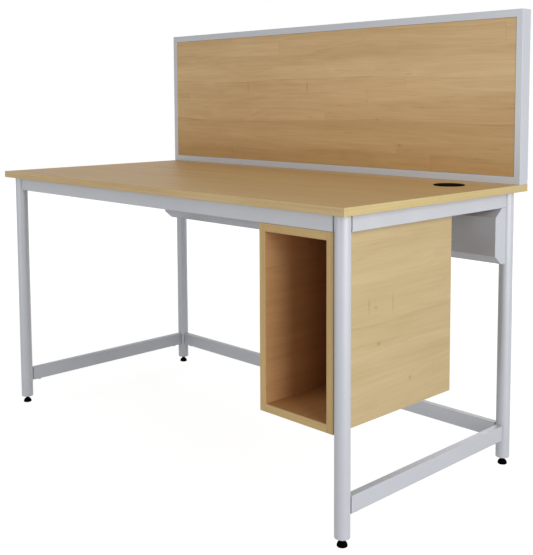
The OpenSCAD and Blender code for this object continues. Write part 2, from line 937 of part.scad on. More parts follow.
// An L-shaped key in a lower left corner of the screen
module corner_key() {
    inset = extrusion_wall + key_fit;
    key_d = screen_d - 2 * inset;
    translate([inset, -key_d / 2, inset]) {
        cube([key_len, key_d, level_w - 2 * inset]);
        cube([stile_w - 2 * inset, key_d, key_len]);
    }
}

module screen_corner_keys() {
    color(STEEL)
        for (sx = [-1, 1])
            flip_x(sx > 0)
                translate([-top_w / 2, screen_mid_y, 0]) {
                    translate([0, 0, top_h]) corner_key();
                    translate([0, 0, screen_top_z]) mirror([0, 0, 1]) corner_key();
                }
}

module screen_posts() {
    post_z = top_h + level_w + tongue;
    post_h = screen_h - 2 * (level_w + tongue);
    color(ALUMINIUM)
        for (sx = [-1, 1])
            translate([sx * post_x - post_w / 2, screen_mid_y - tongue_t / 2, post_z])
                difference() {
                    cube([post_w, tongue_t, post_h]);
                    translate([extrusion_wall, extrusion_wall, -cut])
                        cube([
                            post_w - 2 * extrusion_wall, tongue_t - 2 * extrusion_wall,
                            post_h + 2 * cut
                        ]);
                }
}

module screen_panel(sy) {
    panel_w = top_w - 2 * stile_w - 2 * panel_gap;
    panel_h = screen_h - 2 * level_w - 2 * panel_gap;
    y = sy < 0 ? screen_front_y + panel_setback : top_d / 2 - panel_setback - panel_t;
    color(BEECH)
        translate([-panel_w / 2, y, top_h + level_w + panel_gap]) cube([panel_w, panel_t, panel_h]);
}

module screen_nut_plates() {
    color(STEEL)
        difference() {
            screen_bolt_spots()
                translate([-nut_plate_w / 2, -nut_plate_d / 2, washer_t + top_t + extrusion_wall])
                    cube([nut_plate_w, nut_plate_d, nut_plate_t]);
            screen_bolt_spots() bolt_hole(screen_bolt_len);
        }
}

module screen_bolts() {
    color(STEEL) screen_bolt_spots() bolt(screen_bolt_len);
}

module screen_washers() {
    color(STEEL)
        screen_bolt_spots()
            difference() {
                cylinder(d = washer_d, h = washer_t);
                bolt_hole(washer_t + cut);
            }
}

module bay_side(sx) {
    x = sx < 0 ? bay_left_x : bay_right_x - bay_t;
    color(BEECH)
        difference() {
            translate([x, bay_panel_y, bay_z]) cube([bay_t, bay_panel_d, bay_h]);
            bay_bores();
        }
}

module bay_level(z) {
    color(BEECH)
        difference() {
            translate([bay_left_x + bay_t, bay_panel_y, z]) cube([bay_in_w, bay_panel_d, bay_t]);
            bay_bores();
        }
}

module bay_back() {
    color(BEECH)
        difference() {
            translate([bay_left_x + bay_t, bay_rear_y - bay_t, back_z])
                cube([bay_in_w, bay_t, back_h]);
            bay_bores();
        }
}

module bay_edge_bands() {
    color(BAND) {
        for (x = [bay_left_x, bay_right_x - bay_t])
            translate([x, bay_front_y, bay_z]) cube([bay_t, bay_band_t, bay_h]);
        for (z = [bay_z, rail_z - bay_t])
            translate([bay_left_x + bay_t + bay_band_gap, bay_front_y, z])
                cube([bay_in_w - 2 * bay_band_gap, bay_band_t, bay_t]);
    }
}

module bay_cams() {
    color(STEEL)
        bay_joints()
            difference() {
                cam(0, 0);
                for (a = [0, 90])
                    translate([cam_back, 0, bay_t / 2 - cross_depth])
                        rotate([0, 0, a])
                            translate([-cross_len / 2, -cross_w / 2, 0])
                                cube([cross_len, cross_w, cross_depth + cut]);
            }
}

module bay_cam_bolts() {
    color(STEEL) bay_joints() cam_bolt(0, cam_back - cam_d / 2 - cam_gap);
}

module bay_dowels() {
    color(DOWEL) bay_joints() dowel(0);
}

module bay_hangers() {
    color(SILVER)
        hanger_frames()
            difference() {
                translate([0, -hanger_len / 2, 0]) {
                    translate([-hanger_flange / 2, 0, 0])
                        cube([hanger_flange, hanger_len, hanger_t]);
                    translate([hanger_flange / 2 - hanger_t, 0, 0])
                        cube([hanger_t, hanger_len, rail_h]);
                    translate([hanger_flange / 2 - hanger_t, 0, rail_h - hanger_t])
                        cube([hanger_flange, hanger_len, hanger_t]);
                }
                translate([0, 0, -cut])
                    cylinder(d = rivet_d + 2 * hole_fit, h = hanger_t + 2 * cut);
                for (s = [-1, 1])
                    translate([hanger_top_x, s * hanger_screw_step, rail_h - hanger_t])
                        wood_hole(hanger_t + cut);
            }
}

module bay_bolts() {
    color(STEEL)
        bay_bolt_spots()
            translate([0, 0, bay_bolt_sink - bay_t]) bolt(bay_t - bay_bolt_sink + rivet_len);
}

module cable_tray() {
    length = 2 * (rail_out_x - tray_t);
    outside = bent(tray_corners, tray_bend + tray_t);
    lug_d = rail_t / 2 + leg_rear_y - tray_rear_y;
    color(SILVER)
        difference() {
            union() {
                translate([-length / 2, 0, 0])
                    rotate([90, 0, 90])
                        linear_extrude(height = length)
                            polygon(concat(outside, reversed(beside(outside, tray_t))));
                for (x = lug_xs)
                    translate([x - lug_w / 2, tray_rear_y - tray_t, rail_z - tray_t])
                        cube([lug_w, lug_d + tray_t, tray_t]);
            }
            tray_bolt_spots() translate([0, 0, -tray_t]) bolt_hole(tray_t + cut);
        }
}

module tray_end(sx) {
    color(SILVER)
        flip_x(sx < 0)
            translate([rail_out_x - tray_t, 0, 0])
                rotate([90, 0, 90])
                    linear_extrude(height = tray_t)
                        polygon(bent([for (i = [0 : 5]) tray_corners[i]], tray_bend + tray_t));
}

module tray_bolts() {
    color(STEEL)
        tray_bolt_spots() translate([0, 0, -tray_t]) bolt(tray_t + rivet_len);
}

worktop_board();
worktop_band_long(-1);  // worktop_band_front
worktop_band_long(1);  // worktop_band_rear
worktop_band_end(-1);  // worktop_band_left
worktop_band_end(1);  // worktop_band_right
grommet_liner();
grommet_cap();
leg(-1, -1);  // leg_front_left
leg(1, -1);  // leg_front_right
leg(-1, 1);  // leg_rear_left
leg(1, 1);  // leg_rear_right
leg_top_plugs();
leg_end_caps();
foot_stud(-1, -1);  // foot_stud_front_left
foot_stud(1, -1);  // foot_stud_front_right
foot_stud(-1, 1);  // foot_stud_rear_left
foot_stud(1, 1);  // foot_stud_rear_right
foot_pad(-1, -1);  // foot_pad_front_left
foot_pad(1, -1);  // foot_pad_front_right
foot_pad(-1, 1);  // foot_pad_rear_left
foot_pad(1, 1);  // foot_pad_rear_right
rail_front();
rail_rear();
rail_side(-1);  // rail_left
rail_side(1);  // rail_right
stretcher_rear();
stretcher_side(-1);  // stretcher_left
stretcher_side(1);  // stretcher_right
rail_spigots();
joint_screws();
fixing_tabs();
wood_screws();
rivet_nuts();
screen_stile(-1);  // screen_stile_left
screen_stile(1);  // screen_stile_right
screen_rail_top();
screen_rail_bottom();
screen_corner_keys();
screen_posts();
screen_panel(-1);  // screen_panel_front
screen_panel(1);  // screen_panel_rear
screen_nut_plates();
screen_bolts();
screen_washers();
bay_side(-1);  // bay_side_left
bay_side(1);  // bay_side_right
bay_level(rail_z - bay_t);  // bay_top
bay_level(bay_z);  // bay_bottom
bay_back();
bay_edge_bands();
bay_cams();
bay_cam_bolts();
bay_dowels();
bay_hangers();
bay_bolts();
cable_tray();
tray_end(-1);  // tray_end_left
tray_end(1);  // tray_end_right
tray_bolts();
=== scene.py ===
"""Looks of the library catalogue station: materials, threaded studs, floor, light and camera."""

import math

import bmesh
import bpy
from mathutils import Matrix, Vector


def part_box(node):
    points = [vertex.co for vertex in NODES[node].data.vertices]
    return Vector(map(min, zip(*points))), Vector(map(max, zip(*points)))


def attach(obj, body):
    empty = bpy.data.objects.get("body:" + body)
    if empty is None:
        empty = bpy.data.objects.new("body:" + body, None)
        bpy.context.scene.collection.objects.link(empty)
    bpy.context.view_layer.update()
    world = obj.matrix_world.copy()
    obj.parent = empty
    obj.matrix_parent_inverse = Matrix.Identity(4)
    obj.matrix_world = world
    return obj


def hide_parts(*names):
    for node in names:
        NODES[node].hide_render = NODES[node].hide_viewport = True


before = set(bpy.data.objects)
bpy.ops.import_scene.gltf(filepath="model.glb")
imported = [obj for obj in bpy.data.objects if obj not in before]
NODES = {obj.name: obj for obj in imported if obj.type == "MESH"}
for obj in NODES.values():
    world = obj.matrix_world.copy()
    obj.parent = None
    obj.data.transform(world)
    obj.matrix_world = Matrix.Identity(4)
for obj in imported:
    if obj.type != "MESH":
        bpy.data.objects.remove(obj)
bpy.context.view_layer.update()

FEET = ("front_left", "front_right", "rear_left", "rear_right")


def linear(red, green, blue):
    """Turns a colour in screen values from 0 to 255 into the linear values that shaders take."""
    parts = []
    for value in (red, green, blue):
        part = value / 255
        parts.append(part / 12.92 if part <= 0.04045 else ((part + 0.055) / 1.055) ** 2.4)
    return (*parts, 1.0)


def scaled(colour, factor):
    """Makes a linear colour lighter or darker."""
    return (*(min(1.0, part * factor) for part in colour[:3]), 1.0)


# The lightest and the darkest colour of each wood.
DESK_PRINT = (linear(220, 186, 130), linear(201, 160, 105))
SCREEN_PRINT = (linear(240, 209, 160), linear(204, 166, 115))
BAY_PRINT = (linear(215, 193, 150), linear(190, 165, 120))
FRONT_BAND = (linear(226, 197, 143), linear(199, 166, 113))
SIDE_BAND = (linear(217, 197, 141), linear(191, 166, 111))
BAY_BAND = (linear(224, 192, 132), linear(200, 164, 105))
DOWEL_WOOD = (linear(222, 196, 150), linear(190, 158, 110))

# The dark details of the woods.
FLECK = linear(140, 97, 56)
SEAM = linear(132, 92, 52)
END_JOINT = linear(116, 80, 46)
KNOT_HALO = linear(158, 112, 64)
KNOT_CORE = linear(112, 74, 42)
PORE = linear(138, 96, 54)

SILVER = linear(203, 206, 213)
ALUMINIUM = linear(203, 207, 214)
BLACK = linear(3, 3, 3)
DUST = linear(40, 39, 38)
ZINC = linear(162, 165, 169)
STRAW = linear(160, 158, 150)
WHITE = (1.0, 1.0, 1.0, 1.0)
FLOOR_SEEN = (0.3, 0.3, 0.3, 1.0)

# The range in which most of a noise lies.
NOISE_RANGE = (0.3, 0.7)

# The beech print's rows of staves, the length of a stave, how many lengths apart two rows may start,
# and how far the figure moves along and across the grain from stave to stave.
ROWS_PER_METRE = 22.0
STAVE_LENGTH = 0.83
START_SPREAD = 9.0
STAVE_MOVES = (3.1, 1.7)

# How fast the growth rings follow each other, and a seam's place and half width as shares of a row.
RING_TURNS = 46.0
SEAM_PLACE = 0.94
SEAM_WIDTH = 0.05

# Knots are places along and across the grain with a size, and ticks are places alone. The place across
# the grain is the sum of the two coordinates across it.
SCREEN_KNOTS = ((0.3232, 1.1637, 0.0025), (0.2378, 1.2361, 0.002))
SCREEN_TICKS = ((-0.3143, 1.337), (-0.0415, 1.336))
BAY_KNOTS = ((-0.1906, 1.1625, 0.0022), (-0.1794, 1.0779, 0.003), (-0.0619, 0.9739, 0.003))
BAY_TICKS = ((-0.2143, 1.169), (-0.128, 1.164))
TICK_SCALE = (400.0, 44.0)

# The rings of a mark: colour, where it starts and ends to fade in the mark's own sizes, and strength.
KNOT_RINGS = ((KNOT_HALO, 0.6, 3.2, 0.12), (KNOT_CORE, 0.3, 1.4, 0.26))
TICK_RINGS = ((END_JOINT, 0.3, 1.4, 0.24),)
KNOT_RAGGED = 0.45
TICK_RAGGED = 0.3

# Painted shade: the screen's laminate grows darker from the upper of these heights down to this tint at
# the lower one, towards its foot by the worktop.
SCREEN_SHADE_HEIGHTS = (0.75, 1.12)
SCREEN_FOOT_SHADE = (0.68, 0.57, 0.41, 1.0)

# The room inside the computer bay, and the painted shade of its walls and floor: darker, warmer tints
# for the bay's shade and warm bounced light, which go over to the deepest shade between these two
# places in y, towards the back.
BAY_ROOM = ((0.449, -0.34, 0.266), (0.639, 0.082, 0.672))
BAY_WALL_SHADE = (1.15, 0.84, 0.68, 1.0)
BAY_FLOOR_SHADE = (0.9, 0.63, 0.45, 1.0)
BAY_SHADE_DEPTHS = (-0.25, -0.11)
BAY_DEEPEST_SHADE = (0.66, 0.41, 0.3, 1.0)

# How far inside a box, negative outside it, its tint starts and is complete.
BOX_EDGE = (-0.0006, -0.0003)

# The places in x between which the strips of an upright frame lie level.
SCREEN_RAILS = (-0.6945, 0.6945)
BAY_STRIPS = (0.449, 0.639)

# The order of the coordinates for a grain along each axis, and the sockets of a colour's Mix node.
GRAIN_ORDER = {"X": (0, 1, 2), "Y": (1, 0, 2), "Z": (2, 0, 1)}
MIX_INPUTS = (0, 6, 7)
MIX_OUTPUT = 2

# The thread of the studs. Each point of its profile has its share of the pitch, and whether it lies on
# the crest.
THREAD_PITCH = 0.00125
THREAD_DEPTH = 0.00062
THREAD_STEPS = 28
THREAD_PROFILE = ((0.0, False), (0.14, False), (0.46, True), (0.66, True), (0.98, False), (1.0, False))
WELD_DISTANCE = 0.000001

# The floor lies just under the lowest place that the feet reach, so that it hides none of them.
FLOOR_DEPTH = 0.0203
FLOOR_RADIUS = 9.0
FLOOR_SEGMENTS = 96
FLOOR_GREY = (0.38, 0.4)
FLOOR_WHITE = (0.88, 1.0)
FLOOR_WHITENS = (1.3, 3.0)

# Name, watts, size, place and target of each lamp.
LAMPS = (
    ("key_light", 64.0, 2.2, (3.4, -0.5, 1.3), (0.2, 0.0, 0.7)),
    ("fill_light", 24.0, 2.0, (-0.6, -3.2, 1.0), (0.1, 0.0, 0.7)),
    ("rear_light", 24.0, 2.0, (-0.5, 3.4, 1.1), (0.0, 0.3, 0.8)),
)
WORLD_STRENGTH = 0.32

# The camera of the photograph: angles in degrees, and its focal length and centre in pixels.
PHOTO_WIDTH = 533
PHOTO_HEIGHT = 555
CAMERA_PLACE = (1.94514, -1.77503, 0.97621)
CAMERA_YAW = 45.986
CAMERA_PITCH = 5.0
CAMERA_ROLL = -0.281
FOCAL_PIXELS = 913.66
CENTRE_PIXELS = (266.5, 178.13)
SENSOR_WIDTH = 36.0
CLIP_RANGE = (0.05, 60.0)


class Surface:
    """One procedural material on a Principled shader, measured in the metres of the shared frame."""

    def __init__(self, name):
        self.material = bpy.data.materials.new(name)
        self.material.use_nodes = True
        self.tree = self.material.node_tree
        self.shader = self.tree.nodes["Principled BSDF"]
        self.place = self.add("ShaderNodeTexCoord").outputs["Object"]

    def put(self, value, socket):
        """Links an output to the socket, or sets the socket where the value is a number or a colour."""
        if isinstance(value, bpy.types.NodeSocket):
            self.tree.links.new(value, socket)
        else:
            socket.default_value = value

    def add(self, kind, *values, **settings):
        """Adds a node with these settings, and fills its first sockets with the values."""
        node = self.tree.nodes.new(kind)
        for name, setting in settings.items():
            setattr(node, name, setting)
        for value, socket in zip(values, node.inputs):
            self.put(value, socket)
        return node

    def fill(self, node, **sockets):
        """Fills a node's sockets by their names, with _ for a space."""
        for name, value in sockets.items():
            self.put(value, node.inputs[name.replace("_", " ")])

    def math(self, operation, *values):
        return self.add("ShaderNodeMath", *values, operation=operation).outputs[0]

    def total(self, *values):
        result = values[0]
        for value in values[1:]:
            result = self.math("ADD", result, value)
        return result

    def apart(self, value, other):
        """How far two numbers are from each other."""
        return self.math("ABSOLUTE", self.math("SUBTRACT", value, other))

    def vector(self, operation, *values):
        node = self.add("ShaderNodeVectorMath", *values, operation=operation)
        return node.outputs["Value" if operation == "LENGTH" else "Vector"]

    def split(self, vector):
        return self.add("ShaderNodeSeparateXYZ", vector).outputs

    def join(self, x, y, z):
        return self.add("ShaderNodeCombineXYZ", x, y, z).outputs[0]

    def noise(self, vector, scale=1.0, detail=2.0, roughness=0.5, distortion=0.0):
        """Noise around 0.5 with about one cell to a unit of the vector times scale."""
        node = self.add("ShaderNodeTexNoise")
        self.fill(node, Vector=vector, Scale=scale, Detail=detail)
        self.fill(node, Roughness=roughness, Distortion=distortion)
        return node.outputs[0]

    def streaks(self, parts, along, across, detail, roughness, distortion=0.0):
        """Noise with so many cells to a metre along the grain and across it."""
        vector = self.vector("MULTIPLY", self.join(*parts), (along, across, across))
        return self.noise(vector, 1.0, detail, roughness, distortion)

    def random(self, x, y, z):
        """One random number from 0 to 1 for each set of three numbers."""
        node = self.add("ShaderNodeTexWhiteNoise")
        self.fill(node, Vector=self.join(x, y, z))
        return node.outputs["Value"]

    def span(self, value, low, high, first, last, soft=False):
        """Maps low to first and high to last, and holds the value outside them."""
        kind = "SMOOTHSTEP" if soft else "LINEAR"
        values = (value, low, high, first, last)
        return self.add("ShaderNodeMapRange", *values, interpolation_type=kind).outputs[0]

    def swing(self, noise, first, last, soft=False):
        """Spreads a noise from first to last over the range in which most of it lies."""
        return self.span(noise, *NOISE_RANGE, first, last, soft)

    def mix(self, kind, factor, first, second):
        node = self.add("ShaderNodeMix", data_type="RGBA", blend_type=kind)
        for value, index in zip((factor, first, second), MIX_INPUTS):
            self.put(value, node.inputs[index])
        return node.outputs[MIX_OUTPUT]

    def blend(self, factor, first, second):
        """Goes from the first colour to the second as the factor goes from 0 to 1."""
        return self.mix("MIX", factor, first, second)

    def tint(self, factor, colour, by):
        """Multiplies the colour by another where the factor is 1."""
        return self.mix("MULTIPLY", factor, colour, by)

    def within(self, low, high):
        """1 on and inside a box of the shared frame, and 0 outside it."""
        centre = (Vector(low) + Vector(high)) / 2
        half = (Vector(high) - Vector(low)) / 2
        away = self.vector("ABSOLUTE", self.vector("SUBTRACT", self.place, tuple(centre)))
        room = self.split(self.vector("SUBTRACT", tuple(half), away))
        least = self.math("MINIMUM", self.math("MINIMUM", room[0], room[1]), room[2])
        return self.span(least, *BOX_EDGE, 0.0, 1.0)

    def bump(self, *layers):
        """Raises the surface by each layer's height times its distance in metres."""
        node = None
        for height, distance in layers:
            below = node
            node = self.add("ShaderNodeBump")
            self.fill(node, Distance=distance, Height=height)
            if below:
                self.fill(node, Normal=below.outputs[0])
        self.fill(self.shader, Normal=node.outputs[0])

    def grain(self, axis):
        """The place along the grain and the two places across it."""
        parts = self.split(self.place)
        return [parts[i] for i in GRAIN_ORDER[axis]]

    def frame_grain(self, low, high):
        """The same for an upright frame, whose strips lie level from low to high and stand beyond."""
        x, y, z = self.split(self.place)
        half = (high - low) / 2
        upright = self.span(self.apart(x, (low + high) / 2), half, half + 0.0001, 0.0, 1.0)
        return [self.span(upright, 0.0, 1.0, x, z), y, self.span(upright, 0.0, 1.0, z, x)]


def laminate(
    name, axis, colours, seams, knots=(), ticks=(), shade_heights=None, bay_shade_tint=None, gloss=0.25, rough=0.5,
):
    """Beech-look laminate, printed as long staves: soft bands, fibres, flecks, end joints and knots.

    seams is how dark the broken lines between staves are. ticks are short end joints.
    shade_heights is a pair of heights between which painted shade makes the laminate darker
    on the way down. bay_shade_tint is painted shade in the computer bay's room: a darker, warmer
    tint for its shade and warm bounced light, darker still towards its back. gloss is the
    specular level, and rough is the least roughness.
    """
    surface = Surface(name)
    plain = run, side, rise = surface.grain(axis)
    across = surface.math("ADD", side, rise)

    drift = surface.streaks(plain, 1.3, 3.0, 2.0, 0.5)
    level = surface.math("MULTIPLY", across, ROWS_PER_METRE)
    level = surface.total(level, surface.swing(drift, -0.3, 0.3))
    row = surface.math("FLOOR", level)
    deep = surface.math("FRACT", level)
    start = surface.math("MULTIPLY", surface.random(row, 3.0, 1.0), START_SPREAD)
    place = surface.math("ADD", surface.math("DIVIDE", run, STAVE_LENGTH), start)
    stave = surface.math("FLOOR", place)
    pick = surface.random(row, stave, 7.0)
    moved = (
        surface.math("ADD", run, surface.math("MULTIPLY", pick, STAVE_MOVES[0])),
        side,
        surface.math("ADD", rise, surface.math("MULTIPLY", pick, STAVE_MOVES[1])),
    )

    figure = surface.streaks(moved, 1.5, 12.0, 2.0, 0.45, 0.5)
    rings = surface.math("SINE", surface.math("MULTIPLY", figure, RING_TURNS))
    band = surface.streaks(plain, 0.8, 24.0, 3.0, 0.5, 0.3)
    cloud = surface.streaks(plain, 2.2, 7.0, 3.0, 0.5)
    fibre = surface.streaks(moved, 5.5, 170.0, 4.0, 0.6)
    thread = surface.streaks(moved, 11.0, 950.0, 1.0, 0.5)
    stroke = surface.streaks(moved, 17.0, 380.0, 1.0, 0.5)
    broken = surface.streaks(plain, 4.0, 30.0, 2.0, 0.6)
    tone = surface.total(
        surface.swing(band, 0.22, 0.56),
        surface.swing(cloud, -0.11, 0.11, True),
        surface.span(rings, -1.0, 1.0, -0.06, 0.06),
        surface.swing(fibre, -0.1, 0.1),
        surface.swing(thread, -0.05, 0.05),
        surface.span(surface.random(row, 5.0, 2.0), 0.0, 1.0, -0.07, 0.07),
        surface.span(pick, 0.0, 1.0, -0.04, 0.04),
        surface.span(deep, 0.0, 1.0, -0.04, 0.04),
    )
    colour = surface.blend(surface.span(tone, 0.0, 1.0, 0.0, 1.0), *colours)
    colour = surface.blend(surface.span(stroke, 0.64, 0.78, 0.0, 0.18, True), colour, FLECK)

    line = surface.span(surface.apart(deep, SEAM_PLACE), 0.0, SEAM_WIDTH, 1.0, 0.0, True)
    line = surface.math("MULTIPLY", line, surface.span(broken, 0.5, 0.68, 0.0, seams, True))
    colour = surface.blend(line, colour, SEAM)

    ends = surface.apart(surface.math("FRACT", place), 0.5)
    ends = surface.span(ends, 0.4972, 0.4992, 0.0, 1.0, True)
    shown = surface.span(surface.random(row, stave, 2.0), 0.55, 0.95, 0.0, 0.2)
    colour = surface.blend(surface.math("MULTIPLY", ends, shown), colour, END_JOINT)

    wobble = surface.streaks(plain, 110.0, 160.0, 1.0, 0.5)

    def mark(under, along, offset, scale, ragged, rings_of_mark):
        """Prints one small dark mark with a ragged outline on the colour under it."""
        away = surface.vector("SUBTRACT", surface.join(run, across, 0.0), (along, offset, 0.0))
        away = surface.vector("LENGTH", surface.vector("MULTIPLY", away, (*scale, 0.0)))
        away = surface.math("ADD", away, surface.span(wobble, 0.2, 0.8, -ragged, ragged))
        for dark, near, far, strength in rings_of_mark:
            under = surface.blend(surface.span(away, near, far, strength, 0.0, True), under, dark)
        return under

    for along, offset, size in knots:
        scale = (0.6 / size, 1.0 / size)
        colour = mark(colour, along, offset, scale, KNOT_RAGGED, KNOT_RINGS)
    for along, offset in ticks:
        colour = mark(colour, along, offset, TICK_SCALE, TICK_RAGGED, TICK_RINGS)

    # Painted shade: the screen's laminate goes darker towards its foot by the worktop.
    if shade_heights:
        low = surface.span(surface.split(surface.place)[2], *shade_heights, 1.0, 0.0)
        colour = surface.tint(surface.math("MULTIPLY", low, low), colour, SCREEN_FOOT_SHADE)
    # Painted shade: inside the computer bay the laminate is tinted darker and warmer for its shade and
    # warm bounced light, and darker still towards the back.
    if bay_shade_tint:
        back = surface.span(surface.split(surface.place)[1], *BAY_SHADE_DEPTHS, 0.0, 1.0, True)
        colour = surface.tint(surface.within(*BAY_ROOM), colour, surface.blend(back, bay_shade_tint, BAY_DEEPEST_SHADE))

    roughness = surface.swing(fibre, rough, rough + 0.1)
    surface.fill(surface.shader, Base_Color=colour, Roughness=roughness, Specular_IOR_Level=gloss)
    surface.bump((fibre, 0.00005), (stroke, 0.00003))
    return surface.material


def edge_band(name, along, colours):
    """Thin beech-look edge band with lines along its length and a few dark pores.

    along is the axis of its length or, for a frame of bands, the two places in x between which its
    strips lie level.
    """
    surface = Surface(name)
    parts = surface.grain(along) if along in GRAIN_ORDER else surface.frame_grain(*along)
    line = surface.streaks(parts, 2.2, 320.0, 3.0, 0.6)
    cloud = surface.streaks(parts, 3.5, 26.0, 2.0, 0.5)
    pore = surface.streaks(parts, 70.0, 500.0, 1.0, 0.5)
    tone = surface.total(surface.swing(line, 0.1, 0.6), surface.swing(cloud, -0.2, 0.25))
    colour = surface.blend(surface.span(tone, 0.0, 1.0, 0.0, 1.0), *colours)
    colour = surface.blend(surface.span(pore, 0.67, 0.78, 0.0, 0.4, True), colour, PORE)
    roughness = surface.swing(line, 0.42, 0.52)
    surface.fill(surface.shader, Base_Color=colour, Roughness=roughness, Specular_IOR_Level=0.4)
    surface.bump((line, 0.00005))
    return surface.material


def powder_coat(name, colour):
    """Satin silver powder coat: fine orange peel, small bright flakes and a soft unevenness of tone."""
    surface = Surface(name)
    peel = surface.noise(surface.place, 620.0)
    flake = surface.noise(surface.place, 3400.0, 0.0)
    cloud = surface.noise(surface.place, 7.0, 3.0)
    tone = surface.blend(surface.span(cloud, 0.35, 0.65, 0.0, 1.0), scaled(colour, 0.95), colour)
    tone = surface.blend(surface.span(flake, 0.56, 0.74, 0.0, 0.5), tone, scaled(colour, 1.25))
    roughness = surface.swing(cloud, 0.42, 0.5)
    surface.fill(surface.shader, Base_Color=tone, Metallic=0.15, Roughness=roughness)
    surface.bump((peel, 0.00005))
    return surface.material


def anodised(name, colour):
    """Satin anodised aluminium: fine die lines along every section and a soft cloud of tone."""
    surface = Surface(name)
    lines = surface.streaks(surface.frame_grain(*SCREEN_RAILS), 3.0, 1500.0, 2.0, 0.6)
    cloud = surface.noise(surface.place, 9.0)
    tone = surface.blend(surface.swing(lines, 0.0, 1.0), scaled(colour, 0.95), scaled(colour, 1.04))
    tone = surface.blend(surface.span(cloud, 0.35, 0.65, 0.0, 0.4), tone, scaled(colour, 0.96))
    roughness = surface.swing(lines, 0.36, 0.46)
    surface.fill(surface.shader, Base_Color=tone, Metallic=0.18, Roughness=roughness)
    surface.bump((lines, 0.00002))
    return surface.material


def moulded(name, colour):
    """Black moulded plastic: a fine spark-eroded grain and a little dust in its hollows."""
    surface = Surface(name)
    pebble = surface.noise(surface.place, 1900.0, 2.0, 0.55)
    cloud = surface.noise(surface.place, 60.0, 3.0, 0.6)
    tone = surface.blend(surface.span(pebble, 0.35, 0.7, 0.0, 1.0), colour, scaled(colour, 2.0))
    tone = surface.blend(surface.span(cloud, 0.5, 0.75, 0.0, 0.06), tone, DUST)
    roughness = surface.swing(cloud, 0.72, 0.85)
    surface.fill(surface.shader, Base_Color=tone, Roughness=roughness, Specular_IOR_Level=0.02)
    surface.bump((pebble, 0.00008))
    return surface.material


def zinc_plate(name, colour):
    """Bright zinc plate: a mottled blue and straw tint over turned or rolled steel."""
    surface = Surface(name)
    mottle = surface.noise(surface.place, 240.0, 3.0, 0.6)
    straw = surface.noise(surface.place, 70.0)
    tone = surface.blend(surface.span(straw, 0.35, 0.65, 0.0, 1.0), colour, STRAW)
    tone = surface.blend(surface.span(mottle, 0.4, 0.7, 0.0, 0.5), tone, scaled(colour, 0.72))
    roughness = surface.swing(mottle, 0.28, 0.44)
    surface.fill(surface.shader, Base_Color=tone, Metallic=0.9, Roughness=roughness)
    surface.bump((mottle, 0.00003))
    return surface.material


def bare_beech(name, axis, colours):
    """Bare turned beech of the dowels."""
    surface = Surface(name)
    fibre = surface.streaks(surface.grain(axis), 30.0, 700.0, 3.0, 0.6)
    colour = surface.blend(surface.swing(fibre, 0.0, 1.0), *colours)
    surface.fill(surface.shader, Base_Color=colour, Roughness=surface.swing(fibre, 0.6, 0.75))
    surface.bump((fibre, 0.00008))
    return surface.material


def dress(material, *names):
    """Gives the material to CAD nodes through their own material slots."""
    for name in names:
        for slot in NODES[name].material_slots:
            slot.material = material


def link(name, data):
    """Adds an object with this data to the scene."""
    item = bpy.data.objects.new(name, data)
    bpy.context.scene.collection.objects.link(item)
    return item


def threaded_stud(foot, material):
    """Builds one M8 levelling stud with a real rolled thread in the place of its CAD node."""
    low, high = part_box("foot_stud_" + foot)
    centre = (low + high) / 2
    bottom, top = low.z, high.z
    crest = (high.x - low.x) / 2
    root = crest - THREAD_DEPTH
    turns = math.ceil((top - bottom) / THREAD_PITCH) + 1

    mesh = bmesh.new()
    columns = []
    for step in range(-THREAD_STEPS, turns * THREAD_STEPS + 1):
        angle = 2 * math.pi * step / THREAD_STEPS
        column = []
        for share, on_crest in THREAD_PROFILE:
            radius = crest if on_crest else root
            height = bottom + THREAD_PITCH * (step / THREAD_STEPS + share)
            height = min(max(height, bottom), top) - centre.z
            column.append(mesh.verts.new((radius * math.cos(angle), radius * math.sin(angle), height)))
        columns.append(column)
    for left, right in zip(columns, columns[1:]):
        for i in range(len(THREAD_PROFILE) - 1):
            mesh.faces.new((left[i], right[i], right[i + 1], left[i + 1]))
    bmesh.ops.remove_doubles(mesh, verts=mesh.verts, dist=WELD_DISTANCE)
    bmesh.ops.create_cone(
        mesh, cap_ends=True, segments=THREAD_STEPS, radius1=root, radius2=root, depth=top - bottom,
        matrix=Matrix.Translation((0, 0, (top + bottom) / 2 - centre.z)),
    )
    bmesh.ops.recalc_face_normals(mesh, faces=mesh.faces)

    data = bpy.data.meshes.new("threaded_stud_" + foot)
    mesh.to_mesh(data)
    mesh.free()
    data.materials.append(material)
    piece = link("threaded_stud_" + foot, data)
    piece.location = centre
    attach(piece, "foot_" + foot)
    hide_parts("foot_stud_" + foot)


def seen_rays(tree):
    """1 for the rays that the eye follows, straight or reflected, and 0 for all others."""
    rays = tree.nodes.new("ShaderNodeLightPath").outputs
    result = rays["Is Camera Ray"]
    for other in ("Is Glossy Ray", "Is Transmission Ray"):
        node = tree.nodes.new("ShaderNodeMath")
        node.operation = "MAXIMUM"
        tree.links.new(result, node.inputs[0])
        tree.links.new(rays[other], node.inputs[1])
        result = node.outputs[0]
    return result


def floor_material(name):
    """Pale floor that looks white, keeps a faint soft shadow, and sends little light back up."""
    surface = Surface(name)
    seen = seen_rays(surface.tree)
    far = surface.span(surface.vector("LENGTH", surface.place), *FLOOR_WHITENS, 0.0, 1.0, True)
    grey = surface.span(surface.noise(surface.place, 1.3), 0.0, 1.0, *FLOOR_GREY)
    colour = surface.blend(seen, surface.join(grey, grey, grey), FLOOR_SEEN)
    white = surface.math("MULTIPLY", seen, surface.span(far, 0.0, 1.0, *FLOOR_WHITE))
    surface.fill(surface.shader, Base_Color=colour, Roughness=1.0, Specular_IOR_Level=0.0)
    surface.fill(surface.shader, Emission_Color=WHITE, Emission_Strength=white)
    surface.material.cycles.emission_sampling = "NONE"
    return surface.material


